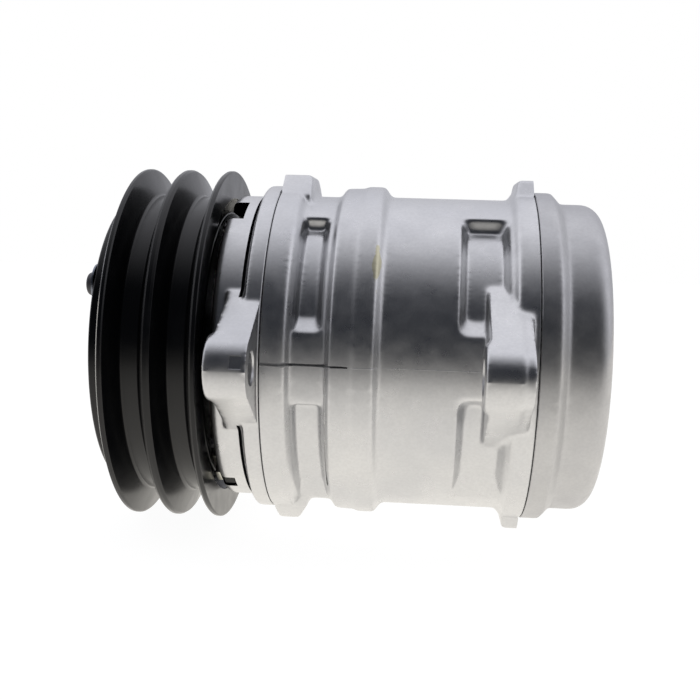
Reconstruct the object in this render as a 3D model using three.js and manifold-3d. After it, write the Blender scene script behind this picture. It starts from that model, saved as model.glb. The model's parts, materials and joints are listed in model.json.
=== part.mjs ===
// Automotive air-conditioning compressor with a two-groove electromagnetic clutch.
// Millimetres, +Z up. The shaft runs along X: the clutch is at -X and the rear head at +X.
// Every length along the shaft is a station, counted from just in front of the pulley's first rim.
// The whole assembly is shifted at the end so that the middle of its box is the origin.
import * as THREE from "three";
import { mergeVertices } from "three/addons/utils/BufferGeometryUtils.js";
import Module from "manifold-3d";

const wasm = await Module();
wasm.setup();

// ---- driving dimensions -------------------------------------------------------------------
const GAP = 0.3; // clearance between pieces that touch on the real object
const ROUND = 24; // sides of a large turned surface
const FINE = 20; // sides of an inner turned surface
const SMALL = 8; // sides of a bolt, pin or hole

const PULLEY_R = 67.5; // outside radius of the pulley
const GROOVE_PITCH = 16; // between the two belt grooves
const GROOVE_DEPTH = 10;
const GROOVE_WALL = THREE.MathUtils.degToRad(18); // half of the belt's V angle
const PULLEY_FACE = 2.2; // friction face
const PULLEY_BACK = 36.7; // rear face of the last rim
const CHANNEL_R = 53; // inside of the pulley's outer wall
const CHANNEL_MOUTH_R = 57; // the same at its rear edge
const PULLEY_HUB_R = 30; // outside of the pulley's bearing housing
const BEARING_SEAT_R = 26.2;

const NOSE_R = 17.5; // nose of the front head, carries the pulley bearing and the coil
const NOSE_FRONT = 5.6;
const NECK_R = 58.2; // front head behind the pulley
const NECK_FRONT = 40;
const FRONT_JOINT = 57.3; // front head to casing
const REAR_JOINT = 150.4; // casing to rear head
const CASING_BACK = REAR_JOINT - 0.3;
const SHELF_FRONT = 134.3; // inner shelf of the casing, behind the fixed scroll
const SHELF_R = 41;
const RING_R = 62.3; // joint rings
const BARREL_R = 59.1; // casing barrel
const BAND_R = 58.7; // casing band that holds the front pockets
const BORE_R = 50.5; // inside of the casing
const REAR_END = 175.5; // rear face
const HEAD_R = 58.2; // rear head
const HEAD_CORNER = 7; // round edge of the rear face

const CHAMBER_BACK = 165; // depth of the rear head's gas chambers
const PORT_R = 6.8;
const SUCTION_Y = -34;
const DISCHARGE_Y = 16;
const CLAMP_HOLE_R = 4; // for the stud that clamps both hose fittings
const VALVE_Z = -16; // pressure relief valve
const PLUG_Z = 33.5; // oil filler plug
const SPOT_FACE = 170; // seat of the valve and the plug, below the rear face

const PAD_Z = 66.3; // flat lugs above and below, for a bracket
const PAD_HALF = 10.5; // half the width of their flats
const EAR_Y = 73; // mounting holes to the shaft axis
const EAR_R = 11; // round end of an ear
const EAR_HOLE_R = 5.25;
const EAR_ROOT = { y: 42, z: 30.5 }; // where an ear's flanks end, inside the wall

const AIR_GAP = 0.5; // armature to pulley with the clutch off
const ARMATURE_R = 55;
const ARMATURE_T = 5.6;
const ARMATURE_FRONT = PULLEY_FACE - AIR_GAP - ARMATURE_T;
const SPRING_T = 0.7;
const SPRING_BACK = ARMATURE_FRONT - GAP;
const RIVET_RING_R = 48; // armature rivets
const RIVET_ANGLE = 30; // first armature rivet, degrees above -Y
const HUB_RIVET_RING_R = 22;
const FLAT = 6.2; // the hub sits on two flats of the shaft, this far from its axis
const HUB_RIVET_LAG = 62; // hub rivets follow the armature rivets by this angle

const ECCENTRICITY = 3.2; // crank pin, and so the orbit of the moving scroll
const SCROLL_BASE_R = 2.2; // base circle of the involutes
const SCROLL_WALL = 3.4;
const SCROLL_START = 3.6; // involute angle where the walls begin, radians
const SCROLL_END = 15.2;
const WRAP_FRONT = 101; // orbiting plate to fixed plate
const WRAP_BACK = 124;
const BOLT_RING_R = 46.6;
const BOLT_COUNT = 6;
const BOLT_R = 3;
const JOINT_GROOVE_FRONT = FRONT_JOINT - 2.2; // depth of the two joint seals' grooves
const JOINT_GROOVE_BACK = REAR_JOINT + 1.9;

// ---- solids -------------------------------------------------------------------------------
// A closed three.js geometry as a solid, with its faces turned outwards.
function solidOf(geometry) {
  geometry.deleteAttribute("normal");
  geometry.deleteAttribute("uv");
  const merged = mergeVertices(geometry, 1e-4);
  const positions = merged.attributes.position.array;
  const corners = [];
  let volume = 0;
  for (let i = 0; i < merged.index.count; i += 3) {
    const [a, b, c] = merged.index.array.slice(i, i + 3);
    if (a === b || b === c || c === a) continue;
    corners.push(a, b, c);
    const p = new THREE.Vector3().fromArray(positions, a * 3);
    const q = new THREE.Vector3().fromArray(positions, b * 3);
    const r = new THREE.Vector3().fromArray(positions, c * 3);
    volume += p.dot(q.cross(r));
  }
  if (volume < 0) corners.reverse();
  const vertProperties = new Float32Array(positions);
  const mesh = { numProp: 3, vertProperties, triVerts: new Uint32Array(corners) };
  return new wasm.Manifold(new wasm.Mesh(mesh));
}

function geometryOf(solid) {
  const mesh = solid.getMesh();
  const geometry = new THREE.BufferGeometry();
  geometry.setAttribute("position", new THREE.BufferAttribute(mesh.vertProperties, mesh.numProp));
  geometry.setIndex(new THREE.BufferAttribute(mesh.triVerts, 1));
  geometry.computeVertexNormals();
  return geometry;
}

// A solid of revolution about X from [station, radius] corners, which close on themselves.
function turned(profile, sides = ROUND) {
  const points = profile.map(([x, r]) => new THREE.Vector2(r, x));
  const onAxis = profile[0][1] === 0 && profile.at(-1)[1] === 0;
  if (!onAxis) points.push(points[0].clone());
  const geometry = new THREE.LatheGeometry(points, sides);
  geometry.rotateZ(-Math.PI / 2);
  return solidOf(geometry);
}

const rod = (x0, x1, r, sides = FINE) => turned([[x0, 0], [x0, r], [x1, r], [x1, 0]], sides);
const ring = (x0, x1, inner, outer, sides = FINE) =>
  turned([[x0, inner], [x0, outer], [x1, outer], [x1, inner]], sides);

// A rod whose axis is parallel to X, at (y, z).
function rodAt(x0, x1, r, y, z, sides = SMALL) {
  const geometry = new THREE.CylinderGeometry(r, r, x1 - x0, sides);
  geometry.rotateZ(-Math.PI / 2);
  geometry.translate((x0 + x1) / 2, y, z);
  return solidOf(geometry);
}

// A shape drawn in (Y, Z), extruded from station x0 to x1.
const YZ_TO_X = new THREE.Matrix4().makeBasis(
  new THREE.Vector3(0, 1, 0), new THREE.Vector3(0, 0, 1), new THREE.Vector3(1, 0, 0));
function prism(shape, x0, x1, curveSegments = 8) {
  const geometry = new THREE.ExtrudeGeometry(shape, { depth: x1 - x0, bevelEnabled: false, curveSegments });
  geometry.applyMatrix4(YZ_TO_X);
  geometry.translate(x0, 0, 0);
  return solidOf(geometry);
}

function block(x0, x1, y0, y1, z0, z1) {
  const geometry = new THREE.BoxGeometry(x1 - x0, y1 - y0, z1 - z0);
  geometry.translate((x0 + x1) / 2, (y0 + y1) / 2, (z0 + z1) / 2);
  return solidOf(geometry);
}

const polygon = (points) => new THREE.Shape(points.map(([y, z]) => new THREE.Vector2(y, z)));
const joined = (first, ...rest) => rest.reduce((sum, piece) => sum.add(piece), first);
const cut = (first, ...rest) => rest.reduce((left, piece) => left.subtract(piece), first);

// Angles are in degrees about the shaft, from the -Y side towards +Z.
const polar = (radius, degrees) => {
  const angle = THREE.MathUtils.degToRad(degrees);
  return [-radius * Math.cos(angle), radius * Math.sin(angle)];
};
const around = (count, first = 0) => Array.from({ length: count }, (_, i) => first + (i * 360) / count);

// An arc-shaped slot of constant width, cut from station x0 to x1.
function arcSlot(x0, x1, inner, outer, from, to, steps = 6) {
  const angles = Array.from({ length: steps + 1 }, (_, i) => from + ((to - from) * i) / steps);
  const corners = angles.map((a) => polar(outer, a)).concat(angles.reverse().map((a) => polar(inner, a)));
  return prism(polygon(corners), x0, x1);
}

// ---- materials ----------------------------------------------------------------------------
const paint = (color, roughness, metalness) =>
  new THREE.MeshStandardMaterial({ color, roughness, metalness });
const castAluminium = paint(0xb4b5b8, 0.42, 0.85);
const machinedAluminium = paint(0xc6c7c9, 0.3, 0.9);
const blackSteel = paint(0x17181a, 0.35, 0.6);
const darkSteel = paint(0x3a3b3e, 0.4, 0.8);
const brightSteel = paint(0x9a9c9f, 0.25, 0.95);
const zincSteel = paint(0xa9a795, 0.35, 0.85);
const springSteel = paint(0x5a5d63, 0.3, 0.9);
const copper = paint(0xb0683a, 0.4, 0.8);
const blackRubber = paint(0x141414, 0.8, 0);
const brass = paint(0xb59a4c, 0.35, 0.9);

const compressor = new THREE.Group();
compressor.name = "compressor";
function add(parent, name, solid, material) {
  const mesh = new THREE.Mesh(geometryOf(solid), material);
  mesh.name = name;
  parent.add(mesh);
  return mesh;
}
function group(parent) {
  const child = new THREE.Group();
  parent.add(child);
  return child;
}

// ---- mounting ears and lugs ---------------------------------------------------------------
// Outline of an ear on the -Y side: flanks tangent to the round end, running into the casing.
function earOutline(endRadius) {
  const { y: rootY, z: rootZ } = EAR_ROOT;
  const reach = Math.hypot(EAR_Y - rootY, rootZ);
  const tangent = Math.atan2(rootZ, EAR_Y - rootY) + Math.acos(endRadius / reach);
  const shape = new THREE.Shape();
  shape.moveTo(-rootY, -rootZ);
  shape.lineTo(-rootY, rootZ);
  shape.absarc(-EAR_Y, 0, endRadius, tangent, 2 * Math.PI - tangent, false);
  shape.closePath();
  return shape;
}

const mirrored = (solid) => solid.mirror([0, 1, 0]);

// Both ears of one casting: web, raised boss around the hole, and the mounting hole.
function ears(web, boss, tail) {
  const hole = rodAt(boss[0] - 5, tail[1] + 5, EAR_HOLE_R, -EAR_Y, 0, 12);
  const body = joined(
    prism(earOutline(EAR_R), ...web), rodAt(...boss, EAR_R, -EAR_Y, 0, FINE),
    prism(earOutline(EAR_R - 1), ...tail));
  const near = body.subtract(hole);
  return near.add(mirrored(near));
}

// A pair of flat lugs at the top and the bottom, whose sides slope down to the joint ring.
function lugs(x0, x1, foot) {
  const inside = 52;
  const shoulder = Math.sqrt(RING_R ** 2 - foot ** 2) - GAP;
  const top = polygon([
    [-foot, inside], [-foot, shoulder], [-PAD_HALF, PAD_Z],
    [PAD_HALF, PAD_Z], [foot, shoulder], [foot, inside],
  ]);
  const upper = prism(top, x0, x1);
  return upper.add(upper.mirror([0, 0, 1]));
}

// ---- housing ------------------------------------------------------------------------------
const housing = group(compressor);

function boltHoles(x0, x1, radius) {
  return around(BOLT_COUNT, 30).map((a) => rodAt(x0, x1, radius, ...polar(BOLT_RING_R, a)));
}

function frontHead() {
  const outside = turned([
    [NOSE_FRONT, 0], [NOSE_FRONT, NOSE_R], [36, NOSE_R], [36, 27], [NECK_FRONT, 27], [NECK_FRONT, 28],
    [46, 30], [46, 52], [NECK_FRONT, 53.5], [NECK_FRONT, NECK_R], [48.6, NECK_R], [48.9, NECK_R - 1],
    [49.6, NECK_R - 1], [50, NECK_R], [52, RING_R], [FRONT_JOINT - GAP, RING_R],
    [FRONT_JOINT - GAP, BORE_R - GAP], [62, BORE_R - GAP], [62, 40], [77, 40], [77, 0],
  ]);
  const inside = turned([
    [0, 0], [0, 14.5], [27, 14.5], [27, 15.8], [46, 15.8], [46, 20], [60, 20],
    [60, 35.3], [80, 35.3], [80, 0],
  ], FINE);
  const notches = [arcSlot(38, 45.5, 51, 62, 57, 71), arcSlot(38, 45, 51, 62, -59, -51)];
  const oringGroove = ring(JOINT_GROOVE_FRONT, FRONT_JOINT, 54, 57, ROUND);
  const body = joined(outside, ears([44.8, 57], [42.6, 57], [50, 57]));
  return cut(body, inside, oringGroove, ...notches, ...boltHoles(48, 70, BOLT_R + GAP));
}
add(housing, "front_head", frontHead(), castAluminium);

// A cast pocket on the -Y side between two angles, with sloped ends, and its mirror image.
function pockets(x0, x1, from, to, floorRadius, slope) {
  const steps = 4;
  const inner = Array.from({ length: steps + 1 }, (_, i) => {
    const angle = from + slope + ((to - from - 2 * slope) * i) / steps;
    return polar(floorRadius, angle);
  });
  const outline = [polar(60, from), ...inner, polar(60, to), polar(80, to + 8), polar(80, (from + to) / 2)];
  outline.push(polar(80, from - 8));
  const near = prism(polygon(outline), x0, x1);
  return near.add(mirrored(near));
}

function casingShell() {
  const outside = turned([
    [FRONT_JOINT, BORE_R], [FRONT_JOINT, RING_R], [67, RING_R], [69, BAND_R], [78.5, BAND_R], [81, 62],
    [88, 62.3], [89, 62.9], [95, 62.9], [97.5, BARREL_R], [141.5, BARREL_R], [144, RING_R],
    [CASING_BACK, RING_R], [CASING_BACK, BORE_R],
  ]);
  const shell = cut(
    joined(outside, ring(SHELF_FRONT, CASING_BACK, SHELF_R, BORE_R + 1, ROUND)),
    pockets(66.8, 77.8, 11.5, 57.5, 54.3, 3.5), pockets(66.8, 78.5, -66, -13.5, 54.3, 3.5),
    pockets(124.2, 140.6, 12, 61, 54.3, 4), pockets(124.6, 141, -52, -9.8, 54.3, 4));
  const body = joined(
    shell, lugs(FRONT_JOINT + GAP, 68.5, 20.5), lugs(144, CASING_BACK, 17),
    ears([133.2, 143.6], [131.4, 143.6], [143.5, 147.5]));
  const bore = turned([
    [50, 0], [50, BORE_R], [SHELF_FRONT, BORE_R], [SHELF_FRONT, SHELF_R], [160, SHELF_R], [160, 0],
  ]);
  return cut(body, bore, ...boltHoles(130, 155, BOLT_R + GAP));
}
add(housing, "casing", casingShell(), castAluminium);

function rearHead() {
  const corner = Array.from({ length: 4 }, (_, i) => {
    const angle = (i * Math.PI) / 6;
    return [REAR_END - HEAD_CORNER * (1 - Math.sin(angle)), HEAD_R - HEAD_CORNER * (1 - Math.cos(angle))];
  });
  const outside = turned([
    [REAR_JOINT, 0], [REAR_JOINT, RING_R], [157.5, RING_R], [160.5, HEAD_R], ...corner, [REAR_END, 0],
  ]);
  const counterbores = around(BOLT_COUNT, 30).map((a) => rodAt(167, 180, 5.8, ...polar(BOLT_RING_R, a)));
  const chambers = [
    ring(REAR_JOINT - 1, CHAMBER_BACK, 8, 24), ring(REAR_JOINT - 1, CHAMBER_BACK, 27, 41, ROUND),
    ring(REAR_JOINT - 1, JOINT_GROOVE_BACK, 54, 57, ROUND),
  ];
  const ports = [
    rodAt(160, 180, PORT_R, SUCTION_Y, 0, FINE), rodAt(160, 180, PORT_R, DISCHARGE_Y, 0, FINE),
    rodAt(160, 180, CLAMP_HOLE_R, 0, 0), rodAt(160, 180, 5, 0, VALVE_Z), rodAt(160, 180, 5, 0, PLUG_Z),
    rodAt(SPOT_FACE, 180, 8, 0, VALVE_Z), rodAt(SPOT_FACE, 180, 8, 0, PLUG_Z),
  ];
  const holes = boltHoles(REAR_JOINT - 1, 170, BOLT_R + GAP);
  return cut(outside, ...counterbores, ...holes, ...chambers, ...ports);
}
add(housing, "rear_head", rearHead(), castAluminium);

const seal = (x0, x1) => ring(x0, x1, 54.3, 56.7, ROUND);
add(housing, "front_joint_seal", seal(JOINT_GROOVE_FRONT + GAP, FRONT_JOINT - 0.1), blackRubber);
add(housing, "rear_joint_seal", seal(REAR_JOINT, JOINT_GROOVE_BACK - GAP), blackRubber);

function hexagon(radius, y = 0, z = 0) {
  return polygon(Array.from({ length: 6 }, (_, i) => {
    const angle = (i * Math.PI) / 3;
    return [y + radius * Math.cos(angle), z + radius * Math.sin(angle)];
  }));
}

const BOLT_SEAT = 167.3; // under the heads of the long housing bolts
function housingBolt(angle) {
  const [y, z] = polar(BOLT_RING_R, angle);
  const socket = prism(hexagon(2.6, y, z), BOLT_SEAT + 2.5, 180);
  const shank = rodAt(50, BOLT_SEAT + 0.1, BOLT_R, y, z);
  return cut(joined(shank, rodAt(BOLT_SEAT, BOLT_SEAT + 5.5, 5, y, z)), socket);
}
around(BOLT_COUNT, 30).forEach((angle, i) => {
  add(housing, `housing_bolt_${i + 1}`, housingBolt(angle), zincSteel);
});

const plugBody = (x0, headR, z) => {
  const head = prism(hexagon(headR, 0, z), SPOT_FACE + GAP, REAR_END - 0.5);
  return joined(rodAt(x0, SPOT_FACE + 0.4, 4.7, 0, z), head);
};
const valveBore = rodAt(160, 168, 2, 0, VALVE_Z);
add(housing, "relief_valve", plugBody(CHAMBER_BACK - 1, 6.6, VALVE_Z).subtract(valveBore), brass);
add(housing, "oil_plug", plugBody(CHAMBER_BACK + 1, 6.2, PLUG_Z), zincSteel);

// ---- clutch coil, fixed to the front head -----------------------------------------------------
const COIL_BACK = 36;
const coilHousing = turned([
  [10, 31], [10, 33.5], [31, 33.5], [31, 49.5], [10, 49.5], [10, 52], [COIL_BACK - GAP, 52],
  [COIL_BACK - GAP, NOSE_R + GAP], [33.4, NOSE_R + GAP], [33.4, 31],
]);
add(housing, "coil_housing", coilHousing, darkSteel);
add(housing, "coil_winding", ring(12, 30.7, 33.8, 49.2, ROUND), copper);
const coilRing = cut(ring(31.3, 33.1, NOSE_R + GAP, 22.5), block(30, 34, -26, 0, -2.2, 2.2));
add(housing, "coil_snap_ring", coilRing, springSteel);
const clipFoot = arcSlot(COIL_BACK, COIL_BACK + 3.4, 44, 51.5, -62, -48, 3);
const clipTongue = arcSlot(COIL_BACK + 1.4, COIL_BACK + 3.4, 50, 56.5, -59, -51, 2);
add(housing, "coil_lead_clip", joined(clipFoot, clipTongue), zincSteel);
const clipScrew = joined(
  rodAt(COIL_BACK + 0.2, COIL_BACK + 2, 1.8, ...polar(49, -42)),
  rodAt(COIL_BACK + 1.8, COIL_BACK + 3.6, 3.6, ...polar(49, -42)));
add(housing, "coil_ground_screw", clipScrew, brightSteel);
const grommet = arcSlot(NECK_FRONT + 0.4, NECK_FRONT + 4.6, 47, 57.6, -58, -52, 2);
add(housing, "coil_lead_grommet", grommet, blackRubber);
const locatingPin = rodAt(COIL_BACK, NECK_FRONT + 3, 2.4, ...polar(49.3, 66));
add(housing, "coil_locating_pin", locatingPin, brightSteel);

// ---- bearings -----------------------------------------------------------------------------
const TRACK_PLAY = 0.6; // between a ball and its tracks, which are faceted

// A race: a ring with a round track for the balls on its inner or outer face.
function race(x0, x1, back, face, ballX, ballRing, ballR) {
  const trackR = ballR + TRACK_PLAY;
  const half = Math.acos(Math.abs(face - ballRing) / trackR);
  const side = Math.sign(face - ballRing);
  const track = Array.from({ length: 4 }, (_, i) => {
    const angle = -half + (2 * half * i) / 3;
    return [ballX + trackR * Math.sin(angle), ballRing + side * trackR * Math.cos(angle)];
  });
  return turned([[x0, back], [x0, face], ...track, [x1, face], [x1, back]], FINE);
}

// Balls held by a thin cage, as one solid.
function ballSet(ballX, ballRing, ballR, count) {
  const cage = ring(ballX - 1, ballX + 1, ballRing - 0.8, ballRing + 0.8);
  const balls = around(count).map((a) => {
    const geometry = new THREE.OctahedronGeometry(ballR, 1);
    geometry.translate(ballX, ...polar(ballRing, a));
    return solidOf(geometry);
  });
  return joined(cage, ...balls);
}

// Needles held by a thin cage, as one solid.
function needleSet(x0, x1, ringR, needleR, count) {
  const cage = ring(x0, x1, ringR - 0.5, ringR + 0.5);
  const needles = around(count).map((a) => rodAt(x0 + 1, x1 - 1, needleR, ...polar(ringR, a), 5));
  return joined(cage, ...needles);
}

const PULLEY_BALLS = { x: 19.3, ring: 21.8, r: 2.3, count: 7 };
const { x: pulleyBallX, ring: pulleyBallRing, r: pulleyBallR } = PULLEY_BALLS;
const innerRace = race(8.3, 30.3, NOSE_R + GAP, 20.3, pulleyBallX, pulleyBallRing, pulleyBallR);
add(housing, "pulley_bearing_inner_race", innerRace, brightSteel);
const noseRing = cut(ring(6.2, 8, NOSE_R + GAP, 21), block(5, 9, -22, 0, -2, 2));
add(housing, "bearing_snap_ring", noseRing, springSteel);

const MAIN_BALLS = { x: 68, ring: 26.2, r: 5, count: 6 };
const { x: mainBallX, ring: mainBallRing, r: mainBallR } = MAIN_BALLS;
const mainOuter = race(60.3, 75.7, 35, 29.6, mainBallX, mainBallRing, mainBallR);
add(housing, "main_bearing_outer_race", mainOuter, brightSteel);
add(housing, "front_needle_shell", ring(28, 45, 14.9, 15.5), brightSteel);
add(housing, "shaft_seal", turned([
  [17, 10.4], [17, 14.2], [24, 14.2], [24, 12.6], [19, 12.6], [19, 11.6], [21.5, 10.4]], FINE), blackRubber);
add(housing, "seal_snap_ring", cut(ring(14.8, 16.6, 11.6, 14.2), block(14, 17, -16, 0, -2, 2)), springSteel);

// ---- pulley -------------------------------------------------------------------------------
const FLANK = GROOVE_DEPTH * Math.tan(GROOVE_WALL);
function grooveProfile(open) {
  const floor = PULLEY_R - GROOVE_DEPTH;
  const width = 13.2;
  const lip = PULLEY_R - 0.6;
  return [[open, lip], [open + FLANK, floor], [open + width - FLANK, floor], [open + width, lip]];
}
function pulleySolid() {
  const firstGroove = 5;
  const outside = [
    [PULLEY_FACE, 62], [2.4, 65.8], [3.4, PULLEY_R], [4.4, PULLEY_R], ...grooveProfile(firstGroove),
    [firstGroove + 14, PULLEY_R], [firstGroove + 15.2, PULLEY_R],
    ...grooveProfile(firstGroove + GROOVE_PITCH + 0.2),
    [35.2, PULLEY_R], [36.4, PULLEY_R],
  ];
  const inside = [
    [PULLEY_BACK, PULLEY_R - 0.4], [PULLEY_BACK, CHANNEL_MOUTH_R], [36, CHANNEL_MOUTH_R], [31, CHANNEL_R],
    [7, CHANNEL_R], [7, PULLEY_HUB_R], [33, PULLEY_HUB_R], [33, BEARING_SEAT_R], [7.7, BEARING_SEAT_R],
    [7.7, 23.5], [PULLEY_FACE, 23.5],
  ];
  const slots = around(4, 20).map((a) => arcSlot(0, 10, 40, 42.5, a, a + 64, 4));
  return cut(turned([...outside, ...inside]), ...slots);
}
const pulley = group(compressor);
add(pulley, "pulley", pulleySolid(), blackSteel);
const outerRace = race(8.3, 30.3, BEARING_SEAT_R - GAP, 23.3, pulleyBallX, pulleyBallRing, pulleyBallR);
add(pulley, "pulley_bearing_outer_race", outerRace, brightSteel);
add(pulley, "pulley_bearing_seal", ring(9.2, 10, 20.7, 23), blackRubber);
const pulleyBalls = ballSet(pulleyBallX, pulleyBallRing, pulleyBallR, PULLEY_BALLS.count);
add(group(compressor), "pulley_bearing_balls", pulleyBalls, brightSteel);

// ---- shaft, hub and springs ---------------------------------------------------------------
const HUB_FRONT = ARMATURE_FRONT;
const SHAFT_FRONT = -11; // the foremost point of the compressor
const shaftGroup = group(compressor);
function driveShaft() {
  const body = turned([
    [SHAFT_FRONT, 0], [SHAFT_FRONT, 4.4], [SHAFT_FRONT + 0.6, 5], [HUB_FRONT, 5], [HUB_FRONT, 8],
    [10.7, 8], [10.7, 10], [26, 10], [26, 11],
    [46, 11], [48, 14], [57, 18.5], [60, 18.5], [60, 17], [79.5, 17], [79.5, 0],
  ], FINE);
  const crankPin = rodAt(79, 92, 5, 0, ECCENTRICITY, FINE);
  const flats = cut(block(-4.2, 9.6, -12, 12, -12, 12), block(-5, 10, -FLAT, FLAT, -13, 13));
  return cut(body.add(crankPin), flats);
}
add(shaftGroup, "drive_shaft", driveShaft(), brightSteel);

const armatureAngles = around(3, RIVET_ANGLE);
const hubAngles = armatureAngles.map((a) => a + HUB_RIVET_LAG);
function clutchHub() {
  const body = turned([
    [HUB_FRONT, 0], [HUB_FRONT, 28.5], [HUB_FRONT + 3.2, 28.5], [HUB_FRONT + 3.2, 18], [1, 13.5],
    [9.5, 13.5], [9.5, 0],
  ]);
  const bore = rod(-6, 12, 8 + GAP).intersect(block(-6, 12, -FLAT - GAP, FLAT + GAP, -12, 12));
  const rivetHoles = hubAngles.map((a) => rodAt(-6, 2, 2.6, ...polar(HUB_RIVET_RING_R, a)));
  return cut(body, bore, ...rivetHoles);
}
add(shaftGroup, "clutch_hub", clutchHub(), blackSteel);
const nut = cut(prism(hexagon(9.2), -9.8, HUB_FRONT - GAP), rod(-12, 0, 5 + GAP));
add(shaftGroup, "hub_nut", nut, zincSteel);
add(shaftGroup, "adjusting_shim", ring(9.8, 10.4, 8.4, 11.8), brightSteel);

// A leaf spring: a strap with round ends, from a hub rivet to an armature rivet.
function leafSpring(armatureAngle) {
  const endR = 7.2;
  const outer = new THREE.Vector2(...polar(RIVET_RING_R, armatureAngle));
  const inner = new THREE.Vector2(...polar(HUB_RIVET_RING_R, armatureAngle + HUB_RIVET_LAG));
  const direction = Math.atan2(outer.y - inner.y, outer.x - inner.x);
  const shape = new THREE.Shape();
  shape.absarc(outer.x, outer.y, endR, direction - Math.PI / 2, direction + Math.PI / 2, false);
  shape.absarc(inner.x, inner.y, endR, direction + Math.PI / 2, direction + (3 * Math.PI) / 2, false);
  shape.closePath();
  const holes = [outer, inner].map((p) => rodAt(-8, 0, 2.6, p.x, p.y));
  return cut(prism(shape, SPRING_BACK - SPRING_T, SPRING_BACK, 4), ...holes);
}

// A rivet with a domed head in front of the springs.
function rivet(angle, ringR, headR, headBack, headFront, shankEnd) {
  const [y, z] = polar(ringR, angle);
  const shape = turned([
    [headFront, 0], [headFront, headR * 0.6], [(headFront + headBack) / 2, headR * 0.95], [headBack, headR],
    [headBack, 2.3], [shankEnd, 2.3], [shankEnd, 0]], SMALL);
  return shape.translate(0, y, z);
}
armatureAngles.forEach((angle, i) => {
  add(shaftGroup, `leaf_spring_${i + 1}`, leafSpring(angle), springSteel);
});
hubAngles.forEach((angle, i) => {
  const solid = rivet(angle, HUB_RIVET_RING_R, 4, SPRING_BACK - SPRING_T - GAP, -7.2, HUB_FRONT + 3);
  add(shaftGroup, `hub_rivet_${i + 1}`, solid, darkSteel);
});

// ---- armature plate, which slides onto the pulley when the coil is on ------------------------
const armature = group(compressor);
function armaturePlate() {
  const body = turned([
    [ARMATURE_FRONT, 31], [ARMATURE_FRONT, ARMATURE_R - 0.8], [ARMATURE_FRONT + 0.8, ARMATURE_R],
    [PULLEY_FACE - AIR_GAP, ARMATURE_R], [PULLEY_FACE - AIR_GAP, 31]]);
  const slots = around(3, 50).map((a) => arcSlot(-8, 4, 37, 39.5, a, a + 80, 5));
  const holes = armatureAngles.map((a) => rodAt(-6, 4, 2.6, ...polar(RIVET_RING_R, a)));
  return cut(body, ...slots, ...holes);
}
add(armature, "armature_plate", armaturePlate(), blackSteel);
armatureAngles.forEach((angle, i) => {
  const solid = rivet(angle, RIVET_RING_R, 4.7, SPRING_BACK - SPRING_T - 0.6, -8.4, 1.3);
  add(armature, `armature_rivet_${i + 1}`, solid, darkSteel);
});

// ---- inside: main bearing, crank and scrolls ------------------------------------------------
const mainInner = race(60.3, 75.7, 17.3, 22.8, mainBallX, mainBallRing, mainBallR);
add(shaftGroup, "main_bearing_inner_race", mainInner, brightSteel);
const mainBalls = ballSet(mainBallX, mainBallRing, mainBallR, MAIN_BALLS.count);
add(group(compressor), "main_bearing_balls", mainBalls, brightSteel);
add(group(compressor), "front_needles", needleSet(29, 44, 13.1, 1.5, 7), brightSteel);

// The crank pin's axis is the middle of everything in this group.
const crank = group(shaftGroup);
crank.position.z = ECCENTRICITY;
add(crank, "drive_bushing", ring(84, 93.7, 5.3, 9.2), brightSteel);
function counterweight() {
  const sector = arcSlot(80, 83.7, 9, 30, -160, -20, 8);
  return cut(sector.add(ring(80, 83.7, 5.3, 12)), rod(70, 90, 5.3));
}
add(crank, "counterweight", counterweight(), darkSteel);
const needleGroup = group(compressor);
needleGroup.position.z = ECCENTRICITY;
add(needleGroup, "orbit_needles", needleSet(85.5, 93.5, 10.9, 1.2, 7), brightSteel);

// A spiral wall: two involutes of the base circle, SCROLL_WALL apart.
function spiralWall(x0, x1, phase) {
  const step = THREE.MathUtils.degToRad(12);
  const steps = Math.round((SCROLL_END - SCROLL_START) / step);
  const shift = SCROLL_WALL / (2 * SCROLL_BASE_R);
  const side = (offset) => Array.from({ length: steps + 1 }, (_, i) => {
    const angle = SCROLL_START + i * step;
    const length = SCROLL_BASE_R * (angle + offset);
    const turn = angle + phase;
    return [
      SCROLL_BASE_R * Math.cos(turn) + length * Math.sin(turn),
      SCROLL_BASE_R * Math.sin(turn) - length * Math.cos(turn),
    ];
  });
  return prism(polygon([...side(shift), ...side(-shift).reverse()]), x0, x1);
}

const PIN_RING_R = 28;
const PIN_R = 2.5;
const pinAngles = around(4, 45);
function orbitingScroll() {
  const plateFront = 94.5;
  const plate = turned([
    [84.5, 12.6], [84.5, 16.5], [plateFront, 16.5], [plateFront, 36.3], [WRAP_FRONT, 36.3], [WRAP_FRONT, 0],
    [95.5, 0], [95.5, 12.6]]);
  const recessR = PIN_R + ECCENTRICITY + GAP;
  const recesses = pinAngles.map((a) => rodAt(90, 98.5, recessR, ...polar(PIN_RING_R, a)));
  return cut(plate.add(spiralWall(WRAP_FRONT - 0.5, WRAP_BACK - GAP, 0)), ...recesses);
}
const orbiter = group(compressor);
orbiter.position.z = ECCENTRICITY;
add(orbiter, "orbiting_scroll", orbitingScroll(), machinedAluminium);

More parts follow.
